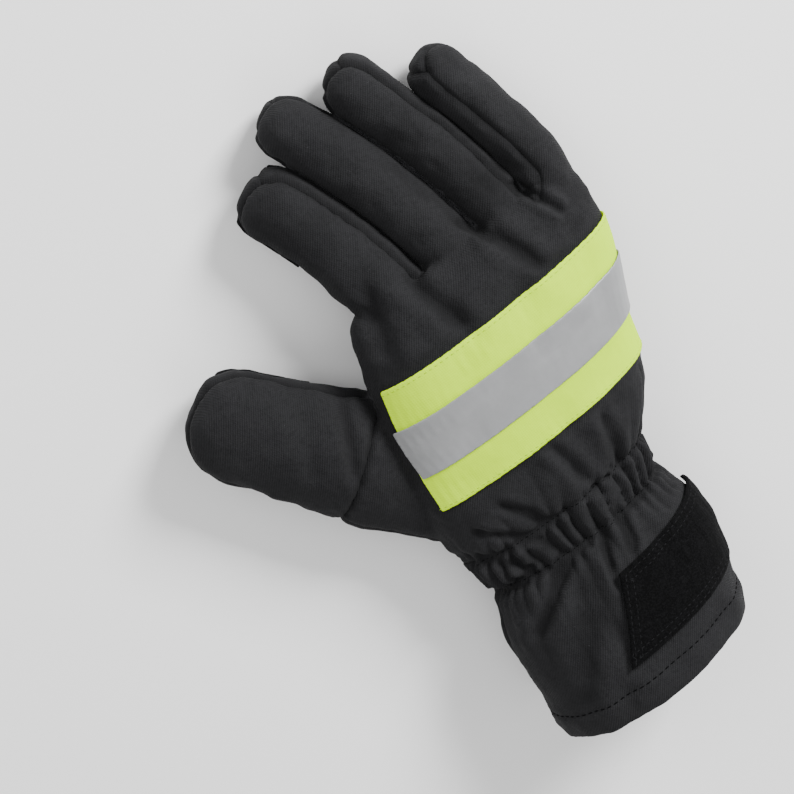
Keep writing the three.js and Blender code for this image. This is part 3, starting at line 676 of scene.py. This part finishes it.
def remeshed(name, points, faces, cell):
    """A closed even mesh of the same shape, with cells of this width in mm.

    Gives its points, polygons, edges and triangles.
    """
    mesh = meshed(name, points.tolist(), [], faces.tolist())
    obj = placed(name, mesh)
    even = obj.modifiers.new("even", "REMESH")
    even.mode = "VOXEL"
    even.voxel_size = cell * MM
    even.adaptivity = 0
    done = baked(obj)
    bpy.data.objects.remove(obj)
    bpy.data.meshes.remove(mesh)
    done.calc_loop_triangles()
    corners = listed(done.vertices, "co")
    polygons = [tuple(polygon.vertices) for polygon in done.polygons]
    edges = listed(done.edges, "vertices", np.int64, 2)
    triangles = listed(done.loop_triangles, "vertices", np.int64)
    bpy.data.meshes.remove(done)
    return corners, polygons, edges, triangles


def relaxed(points, edges, rounds, share=0.5):
    """Points moved towards the mean of their neighbours."""
    count = np.bincount(edges.ravel(), minlength=len(points)).astype(float)
    for _ in range(rounds):
        total = np.zeros_like(points)
        for axis in range(3):
            total[:, axis] = (np.bincount(edges[:, 0], points[edges[:, 1], axis], len(points))
                              + np.bincount(edges[:, 1], points[edges[:, 0], axis], len(points)))
        points = points + share * (total / np.maximum(count, 1)[:, None] - points)
    return points


def point_normals(points, faces):
    area = face_normals(points, faces)
    total = np.zeros_like(points)
    for k in range(3):
        for axis in range(3):
            total[:, axis] += np.bincount(faces[:, k], area[:, axis], len(points))
    return unit(total)


def finished(name, node, points, polygons, material, attributes=None):
    """Makes the piece that stands for a CAD node."""
    mesh = meshed(name, points.tolist(), [], polygons)
    for key, values in (attributes or {}).items():
        layer = mesh.attributes.new(key, "FLOAT", "POINT")
        layer.data.foreach_set("value", np.asarray(values, dtype=np.float32))
    mesh.polygons.foreach_set("use_smooth", [True] * len(mesh.polygons))
    mesh.materials.append(material)
    mesh.update()
    obj = placed(name, mesh)
    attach(obj, BODY)
    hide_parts(node)


def section(y, key):
    """A column of the wrist's sections at this y in mm."""
    return np.interp(y, WRIST["y"], WRIST[key])


def turn_at(points):
    """How far round the wrist a point lies: 0 at the little finger, half a turn at the thumb."""
    x, y, z = (points / MM).T
    middle, half = section(y, "across"), section(y, "half")
    mid, top = section(y, "mid"), section(y, "top")
    tall = np.where(z > mid, top - mid, mid)
    return np.arctan2((z - mid) / tall, (x - middle) / half)


def gathers(points, settings, noise):
    """Puffed ribs between the two elastic rows of the wrist and the folds that fan out from them."""
    y = points[:, 1] / MM
    turn = turn_at(points)
    sway = noise.at(points * np.array([1, SWAY["stretch"], 1]), SWAY["size"]) * SWAY["turn"]
    phase = GATHER_RIBS * (turn + sway)
    which = np.floor(phase / math.pi + 0.5)
    size = 0.8 + 0.35 * np.sin(which * 2.4 + 0.7) + 0.2 * np.sin(which * 5.1)
    rib = np.abs(np.cos(phase)) ** RIB_SHARPNESS
    wide = np.abs(np.cos(phase / 2 + 0.5)) ** FOLD_SHARPNESS
    upper, lower = GATHER_ROWS
    between = step_between(lower - 1.5, lower + 2.0, y) * (1 - step_between(upper - 2.0, upper + 1.5, y))
    above = step_between(upper - 0.5, upper + 2.5, y) * np.exp(-np.maximum(y - upper, 0) / FOLDS_UP)
    below = step_between(-lower - 0.5, -lower + 2.5, -y)
    below = below * np.exp(-np.maximum(lower - y, 0) / FOLDS_DOWN)
    spread = np.clip(np.maximum(y - upper, lower - y) / FAN_REACH, 0, 1)
    fan = (1 - spread) * rib + spread * wide
    back = step_between(-0.5, 0.25, np.sin(turn)) * (1 - PALM_SHARE) + PALM_SHARE
    pinch = bell(y - upper, PINCH_WIDTH) + bell(y - lower, PINCH_WIDTH)
    lumps = noise.at(points, PINCH_LUMPS["size"]) * PINCH_LUMPS["share"]
    height = (between * (1.3 * rib - 0.72) + (above + below) * (0.80 * fan - 0.5)) * size
    return settings.gather * back * (height - pinch * (PINCH_DEPTH + lumps))


def creases(points):
    """Depth in mm of the single folds and dents of the back."""
    x, y, z = (points / MM).T
    depth = np.zeros(len(points))
    for start, end, wide, deep in CREASES:
        line = np.array(end) - start
        length = np.linalg.norm(line)
        line = line / length
        along = (x - start[0]) * line[0] + (y - start[1]) * line[1]
        aside = (x - start[0]) * line[1] - (y - start[1]) * line[0]
        ends = np.maximum(np.maximum(-along, along - length), 0)
        wide = wide / 2
        rim = bell(np.abs(aside) - CREASE_RIM["off"] * wide, CREASE_RIM["width"] * wide)
        shape = bell(aside, wide) - CREASE_RIM["share"] * rim
        depth += deep * bell(ends, CREASE_END * wide) * shape
    return CREASE_STRENGTH * depth * step_between(*CREASE_HEIGHTS, z)


def cloth_relief(points, seam, trim, settings):
    """Height in mm of the cloth over its plain form: seam grooves, puckers, dents and gathers."""
    noise = Noise(11)
    y, z = points[:, 1] / MM, points[:, 2] / MM
    ridge = RIDGE["height"] * bell(seam - RIDGE["off"], RIDGE["width"])
    groove = ridge - settings.groove * bell(seam, GROOVE_WIDTH)
    puckers = settings.pucker * sum(
        row["share"] * noise.at(points, row["size"]) * np.exp(-seam / row["reach"]) for row in PUCKERS)
    dents = settings.crumple * sum(row["share"] * noise.at(points, row["size"]) for row in DENTS)
    hem = y - HEM_Y - HEM_STITCH
    wave = HEM_RELIEF["wave"] * noise.at(points, HEM_RELIEF["size"]) * bell(hem, HEM_RELIEF["reach"])
    hems = wave - HEM_RELIEF["deep"] * bell(hem, HEM_RELIEF["width"])
    bare = step_between(*BARE_FROM_TRIM, trim)
    free = step_between(*ROUND_FROM_FLOOR, z)
    folds = gathers(points, settings, noise) - creases(points)
    return (groove + hems + kept(PUCKERS_UNDER_TRIM, bare) * (puckers + dents)
            + kept(FOLDS_UNDER_TRIM, bare) * folds) * kept(RELIEF_ON_FLOOR, free)


def kept(least, share):
    """From least to 1 as share goes from 0 to 1."""
    return least + (1 - least) * share


class Workshop:
    """What one operator leaves for the next: the glove's bulk and solids, the cloth and the trim."""

    bulk = None
    shapes = None
    shell = None
    trim = None
    cloth = None
    laid = None

    @classmethod
    def open(cls):
        """Reads the solids of the glove."""
        shapes = [triangles_of(panel["node"]) for panel in PANELS]
        cls.bulk = Bulk(shapes)
        cls.shapes = dict(zip([panel["node"] for panel in PANELS], shapes))
        cls.shell = tree_of(joined(shapes))
        cls.trim = tree_of(joined([triangles_of(trim["node"]) for trim in TRIM]))


def joined(shapes):
    """Several shapes, each of points and triangles, as one."""
    start = 0
    points, faces = [], []
    for corners, triangles in shapes:
        points.append(corners)
        faces.append(triangles + start)
        start += len(corners)
    return np.vstack(points), np.vstack(faces)


def make_panel(panel, settings, material):
    """One panel of the shell: even mesh, rounded facets, rolled edges, then the cloth's relief."""
    corners, faces = Workshop.shapes[panel["node"]]
    others = joined([shape for node, shape in Workshop.shapes.items() if node != panel["node"]])
    points, polygons, edges, triangles = remeshed(panel["node"], corners, faces, panel["cell"])
    points = relaxed(Facets(corners, faces).rounded(points), edges, SMOOTHING)
    outward = Workshop.bulk.outward(points)
    depth = Workshop.bulk.depth(points)
    outer = 1 - step_between(*OUTSIDE_ENDS, depth)
    seam = distances(tree_of(others), points, SEAM_REACH)
    normals = point_normals(points, triangles)
    sideways = 1 - np.abs((normals * outward).sum(axis=1))
    swell = panel.get("swell", SWELL) + SEAM_SWELL * bell(seam, SEAM_ROLL) * sideways
    points = points + normals * swell[:, None] * MM
    trim = distances(Workshop.trim, points, TRIM_REACH)
    relief = cloth_relief(points, seam, trim, settings)
    points = points + outward * (outer * np.clip(relief, *RELIEF_LIMITS))[:, None] * MM
    under = CLOTH_FLOOR + TRIM_ROOM * (1 - step_between(*TRIM_ROOM_FADE, trim))
    points[:, 2] = np.maximum(points[:, 2], under * MM)
    # Painted shade in the creases, where the relief sinks into the cloth.
    low, high = CREASE_SHADE
    painted_crease_shade = np.clip((-relief - low) / (high - low), 0, 1)
    marks = {
        "lining": step_between(*LINING_BEGINS, depth),
        # The seam attribute holds painted shade along the seams and in the creases, on the outside only.
        "seam": np.maximum(bell(seam, SEAM_SHADE), painted_crease_shade) * outer,
    }
    finished(panel["piece"], panel["node"], points, polygons, material, marks)
    return points, triangles


class GLOVE_OT_cloth(bpy.types.Operator):
    """Sews the shell of the glove from its twill panels"""

    bl_idname = "glove.cloth"
    bl_label = "Cloth shell"

    def execute(self, context):
        settings = context.scene.glove_cloth
        Workshop.open()
        material = twill_cloth(settings)
        Workshop.cloth = tree_of(joined([make_panel(panel, settings, material) for panel in PANELS]))
        return {"FINISHED"}


def divided(points, faces, longest):
    """Triangles cut at the middles of their sides until no side is longer than this, in mm."""
    for _ in range(7):
        sides = sides_of(faces)
        length = np.linalg.norm(points[sides[:, 0]] - points[sides[:, 1]], axis=1)
        long = length > longest * MM
        if not long.any():
            break
        lines, back = np.unique(sides, axis=0, return_inverse=True)
        back = back.ravel()
        cut = np.zeros(len(lines), dtype=bool)
        cut[back[long]] = True
        middle = np.full(len(lines), -1)
        middle[cut] = len(points) + np.arange(cut.sum())
        points = np.vstack([points, (points[lines[cut, 0]] + points[lines[cut, 1]]) / 2])
        ab, bc, ca = middle[back].reshape(3, -1)
        new = []
        for (a, b, c), p, q, r in zip(faces.tolist(), ab.tolist(), bc.tolist(), ca.tolist()):
            ring = [v for v in (a, p, b, q, c, r) if v >= 0]
            if p >= 0 and q >= 0 and r >= 0:
                new += [(a, p, r), (p, b, q), (r, q, c), (p, q, r)]
            elif len(ring) == 3:
                new.append((a, b, c))
            elif len(ring) == 4:
                k = next(i for i, v in enumerate(ring) if v in (p, q, r) and v >= 0)
                ring = ring[k:] + ring[:k]
                new += [(ring[0], ring[1], ring[2]), (ring[0], ring[2], ring[3])]
            elif r < 0:
                new += [(p, b, q), (a, p, q), (a, q, c)]
            elif p < 0:
                new += [(q, c, r), (b, q, r), (b, r, a)]
            else:
                new += [(r, a, p), (c, r, p), (c, p, b)]
        faces = np.array(new)
    return points, faces


def laid(points):
    """Points of a sheet of trim laid on the finished cloth, as high over it as over the CAD shell."""
    height = distances(Workshop.shell, points, TALLEST_TRIM) * MM
    outward = Workshop.bulk.outward(points)
    spots = np.array([Workshop.cloth.find_nearest(p)[0] for p in points.tolist()])
    rise = ((spots - points) * outward).sum(axis=1) + height + TRIM_GAP * MM
    points = points + outward * rise[:, None]
    points[:, 2] = np.maximum(points[:, 2], TRIM_FLOOR * MM)
    return points


class GLOVE_OT_trim(bpy.types.Operator):
    """Lays the tape, the loop patch and the suede patches on the cloth"""

    bl_idname = "glove.trim"
    bl_label = "Tape and patches"

    def execute(self, context):
        settings = context.scene.glove_trim
        finishes = {
            "yellow": yellow_tape(settings),
            "silver": silver_strip(settings),
            "suede": suede(settings),
            "loops": loop_cloth(settings),
        }
        Workshop.laid = {}
        for trim in TRIM:
            points, faces = divided(*triangles_of(trim["node"]), trim["edge"])
            points = relaxed(laid(points), np.unique(sides_of(faces), axis=0), 2, 0.4)
            finished(trim["piece"], trim["node"], points, faces.tolist(), finishes[trim["finish"]])
            Workshop.laid[trim["node"]] = (points, faces)
        return {"FINISHED"}


def stitch_tree(material):
    """Geometry Nodes that set short lengths of thread along a line."""
    tree = bpy.data.node_groups.new("Stitch row", "GeometryNodeTree")
    face = tree.interface
    face.new_socket("Geometry", in_out="INPUT", socket_type="NodeSocketGeometry")
    face.new_socket("Geometry", in_out="OUTPUT", socket_type="NodeSocketGeometry")
    for name, default in (("Pitch", 3.0 * MM), ("Length", 2.3 * MM), ("Thread", 0.28 * MM)):
        made = face.new_socket(name, in_out="INPUT", socket_type="NodeSocketFloat")
        made.default_value = default

    def node(kind, **settings):
        made = tree.nodes.new(kind)
        for key, value in settings.items():
            setattr(made, key, value)
        return made

    start, end = node("NodeGroupInput"), node("NodeGroupOutput")
    curve = node("GeometryNodeMeshToCurve")
    spaced = node("GeometryNodeResampleCurve", mode="LENGTH")
    ball = node("GeometryNodeMeshUVSphere")
    ball.inputs["Segments"].default_value = 6
    ball.inputs["Rings"].default_value = 5
    ball.inputs["Radius"].default_value = 1.0
    size = node("ShaderNodeCombineXYZ")
    half = node("ShaderNodeMath", operation="MULTIPLY")
    half.inputs[1].default_value = 0.5
    tangent = node("GeometryNodeInputTangent")
    turn = node("FunctionNodeAlignRotationToVector", axis="X")
    place = node("GeometryNodeInstanceOnPoints")
    real = node("GeometryNodeRealizeInstances")
    smooth = node("GeometryNodeSetShadeSmooth")
    painted = node("GeometryNodeSetMaterial")
    painted.inputs["Material"].default_value = material
    for source, output, target, entry in (
        (start, "Geometry", curve, 0),
        (curve, 0, spaced, "Curve"),
        (start, "Pitch", spaced, "Length"),
        (start, "Length", half, 0),
        (half, 0, size, "X"),
        (start, "Thread", size, "Y"),
        (start, "Thread", size, "Z"),
        (tangent, 0, turn, "Vector"),
        (spaced, 0, place, "Points"),
        (ball, "Mesh", place, "Instance"),
        (turn, "Rotation", place, "Rotation"),
        (size, 0, place, "Scale"),
        (place, 0, real, 0),
        (real, 0, smooth, 0),
        (smooth, 0, painted, 0),
        (painted, 0, end, 0),
    ):
        tree.links.new(source.outputs[output], target.inputs[entry])
    return tree


def sewn(name, rows, tree, sizes):
    """One piece of all the stitches along these rows of points."""
    points, lines = [], []
    for row in rows:
        lines += [(len(points) + k, len(points) + k + 1) for k in range(len(row) - 1)]
        points += [(p[0], p[1], max(p[2], STITCH_FLOOR * MM)) for p in row]
    mesh = meshed(name, points, lines, [])
    obj = placed(name, mesh)
    made = obj.modifiers.new("stitches", "NODES")
    made.node_group = tree
    for item in tree.interface.items_tree:
        if item.in_out == "INPUT" and item.name in sizes:
            made[item.identifier] = sizes[item.name]
    done = baked(obj)
    obj.modifiers.clear()
    obj.data = done
    bpy.data.meshes.remove(mesh)
    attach(obj, BODY)


def hull(points):
    """Convex outline of points in plan, counter-clockwise."""
    order = sorted(set(map(tuple, points.tolist())))

    def half(items):
        line = []
        for p in items:
            while len(line) > 1 and ((line[-1][0] - line[-2][0]) * (p[1] - line[-2][1])
                                     - (line[-1][1] - line[-2][1]) * (p[0] - line[-2][0])) <= 0:
                line.pop()
            line.append(p)
        return line[:-1]

    return np.array(half(order) + half(order[::-1]))


def inset(outline, amount):
    """A closed convex outline drawn in by an amount in mm, with points about this far apart."""
    shortest, parallel, longest_mitre = 0.05 * MM, 0.02, 3 * amount * MM
    length = np.linalg.norm(np.roll(outline, -1, axis=0) - outline, axis=1)
    outline = outline[length > shortest]
    edge = np.roll(outline, -1, axis=0) - outline
    count = len(outline)
    inward = np.stack([-edge[:, 1], edge[:, 0]], axis=1)
    inward /= np.linalg.norm(inward, axis=1, keepdims=True)
    corners = []
    for k in range(count):
        n0, n1 = inward[k - 1], inward[k]
        grid = np.array([n0, n1])
        if abs(np.linalg.det(grid)) < parallel:
            corners.append(outline[k] + n1 * amount * MM)
            continue
        offset = np.linalg.solve(grid, np.array([amount * MM, amount * MM]))
        if np.linalg.norm(offset) > longest_mitre:
            offset *= longest_mitre / np.linalg.norm(offset)
        corners.append(outline[k] + offset)
    corners = np.array(corners)
    line = []
    for k in range(count):
        a, b = corners[k], corners[(k + 1) % count]
        steps = max(1, int(np.linalg.norm(b - a) / (ROW_SPACING * MM)))
        line += [a + (b - a) * s / steps for s in range(steps)]
    line.append(line[0])
    return np.array(line)


def dropped(tree, plan, downward, lift):
    """Points in plan set on a surface, from above or from below, sunk or lifted in mm."""
    row = []
    for x, y in plan.tolist():
        start = Vector((x, y, RAY_DROP if downward else -RAY_DROP))
        hit = tree.ray_cast(start, Vector((0, 0, -1 if downward else 1)))
        if hit[0] is not None:
            row.append(hit[0] + hit[1] * lift * MM)
    return row


def wrapped(tree, y_of, start, end, lift, count=160):
    """Points round the hand or cuff from one turn to another, in degrees, on the outside of a surface."""
    row = []
    for k in range(count + 1):
        turn = math.radians(start + (end - start) * k / count)
        y = y_of(k / count)
        across, half, mid, top = (float(section(y, key)) for key in ("across", "half", "mid", "top"))
        centre = Vector((across, y, mid)) * MM
        aim = Vector((math.cos(turn) * half, 0, math.sin(turn) * (top - mid))).normalized()
        hit = tree.ray_cast(centre + aim * RAY_ROUND, -aim)
        if hit[0] is not None and (hit[0] - centre).dot(aim) > 0:
            row.append(hit[0] + hit[1] * lift * MM)
    return row


def tape_edges(points):
    """Where the two long edges of the tape run: y in mm against the turn in degrees."""
    turn = np.degrees(turn_at(points))
    y = points[:, 1] / MM
    end, step, window = 1, 3.0, 2.5
    bins = np.arange(turn.min() + end, turn.max() - end, step)
    low, high = [], []
    for t in bins:
        near = np.abs(turn - t) < window
        low.append(y[near].min())
        high.append(y[near].max())
    return bins, np.array(low), np.array(high)


class GLOVE_OT_stitches(bpy.types.Operator):
    """Sews the stitch rows of the hem, the tape and the patches"""

    bl_idname = "glove.stitches"
    bl_label = "Stitches"

    def execute(self, context):
        settings = context.scene.glove_stitch
        threads = {
            "black": stitch_tree(thread("black_thread", settings.colour)),
            "lime": stitch_tree(thread("lime_thread", shade(context.scene.glove_trim.yellow, 0.8)[:3])),
            "soft": stitch_tree(thread("patch_thread", shade(settings.colour, 4.0)[:3])),
        }
        forms = {
            "plain": {"Pitch": settings.pitch, "Length": settings.length, "Thread": settings.thread},
            "fine": {"Pitch": settings.pitch * 0.8, "Length": settings.length * 0.75,
                     "Thread": settings.thread * 0.75},
        }
        hem = wrapped(Workshop.cloth, lambda share: HEM_Y + HEM_STITCH, 0, 360, 0.0, 400)
        sewn("hem_stitches", [hem], threads["black"], forms["plain"])
        for node, colour, form, above, lift in STITCHED:
            outline = hull(Workshop.laid[node][0][:, :2])
            surface = tree_of(Workshop.laid[node])
            rows = [dropped(surface, inset(outline, depth), above, lift) for depth in STITCH_INSETS]
            sewn(node + "_stitches", rows, threads[colour], forms[form])
        rows = [wrapped(Workshop.cloth, lambda share, y=y: y, *GATHER_TURNS, GATHER_SINK, 300)
                for y in GATHER_ROWS]
        sewn("gather_stitches", rows, threads["black"], forms["fine"])
        self.tape(threads["lime"], forms["fine"])
        return {"FINISHED"}

    def tape(self, tree, sizes):
        """A row along each of the tape's long edges."""
        shape = Workshop.laid["hi_vis_tape"]
        surface = tree_of(shape)
        turns, low, high = tape_edges(shape[0])
        first, last = turns[0], turns[-1]
        rows = []
        for line in (low + TAPE_INSET, high - TAPE_INSET):
            def along(share, line=line):
                return float(np.interp(first + share * (last - first), turns, line))
            rows.append(wrapped(surface, along, first, last, 0.0, 120))
        sewn("tape_stitches", rows, tree, sizes)


class GLOVE_OT_stage(bpy.types.Operator):
    """Lays the pale floor and sets the lights and the camera"""

    bl_idname = "glove.stage"
    bl_label = "Floor, light and camera"

    TARGET = Vector((-36, 25, 25)) * MM
    LEAN = 20.0
    ROLL = 38.0
    DISTANCE = 0.827
    LENS = 100.0
    SENSOR = 36.0

    def execute(self, context):
        settings = context.scene.glove_stage
        self.floor(settings)
        self.lights(settings)
        self.camera(context)
        return {"FINISHED"}

    def floor(self, settings):
        side = FLOOR_REACH
        corners = [(-side, -side, 0), (side, -side, 0), (side, side, 0), (-side, side, 0)]
        mesh = meshed("floor", corners, [], [(0, 1, 2, 3)])
        make = Finish("pale_floor")
        grain = make.noise(30.0, detail=2.0)
        colour = make.mix(grain * 0.04, shade(settings.floor, 1.0), shade(settings.floor, 0.95))
        mesh.materials.append(make.close(colour, 0.7, None, Specular_IOR_Level=0.2))
        floor = placed("floor", mesh)

    def lights(self, settings):
        world = bpy.data.worlds.new("studio")
        world.use_nodes = True
        sky = world.node_tree.nodes["Background"]
        sky.inputs["Color"].default_value = (1.0, 1.0, 1.0, 1.0)
        sky.inputs["Strength"].default_value = SKY
        bpy.context.scene.world = world
        for name, place, width, share in LAMPS:
            light = bpy.data.lights.new(name, "AREA")
            light.energy = settings.light * share
            light.size = width
            lamp = placed(name, light)
            lamp.location = place
            aim = LAMP_AIM - Vector(place)
            lamp.rotation_euler = aim.to_track_quat("-Z", "Y").to_euler()

    def camera(self, context):
        away = Vector((0, math.tan(math.radians(self.LEAN)), 1)).normalized()
        ahead = Vector((0, 1, 0))
        ahead = (ahead - away * ahead.dot(away)).normalized()
        upward = Matrix.Rotation(math.radians(-self.ROLL), 3, away) @ ahead
        right = upward.cross(away)
        data = bpy.data.cameras.new("camera")
        data.lens = self.LENS
        data.sensor_width = self.SENSOR
        data.sensor_fit = "HORIZONTAL"
        camera = placed("camera", data)
        turn = Matrix((right, upward, away)).transposed().to_4x4()
        camera.matrix_world = Matrix.Translation(self.TARGET + away * self.DISTANCE) @ turn
        context.scene.camera = camera


class GLOVE_PT_panel(bpy.types.Panel):
    """Lists the pieces of the glove and their settings"""

    bl_idname = "GLOVE_PT_panel"
    bl_label = "Firefighter glove"
    bl_space_type = "VIEW_3D"
    bl_region_type = "UI"
    bl_category = "Glove"

    def draw(self, context):
        for operator in OPERATORS:
            self.layout.operator(operator.bl_idname)
        for key, group in SETTINGS.items():
            box = self.layout.box()
            for name in group.__annotations__:
                box.prop(getattr(context.scene, key), name)


SETTINGS = {
    "glove_cloth": ClothSettings,
    "glove_trim": TrimSettings,
    "glove_stitch": StitchSettings,
    "glove_stage": StageSettings,
}
OPERATORS = (GLOVE_OT_cloth, GLOVE_OT_trim, GLOVE_OT_stitches, GLOVE_OT_stage)
CLASSES = (*SETTINGS.values(), *OPERATORS, GLOVE_PT_panel)


def register():
    for made in CLASSES:
        bpy.utils.register_class(made)
    for key, group in SETTINGS.items():
        setattr(bpy.types.Scene, key, bpy.props.PointerProperty(type=group))


def unregister():
    for key in SETTINGS:
        delattr(bpy.types.Scene, key)
    for made in reversed(CLASSES):
        bpy.utils.unregister_class(made)


def main():
    register()
    bpy.ops.glove.cloth()
    bpy.ops.glove.trim()
    bpy.ops.glove.stitches()
    bpy.ops.glove.stage()


if __name__ == "__main__":
    main()
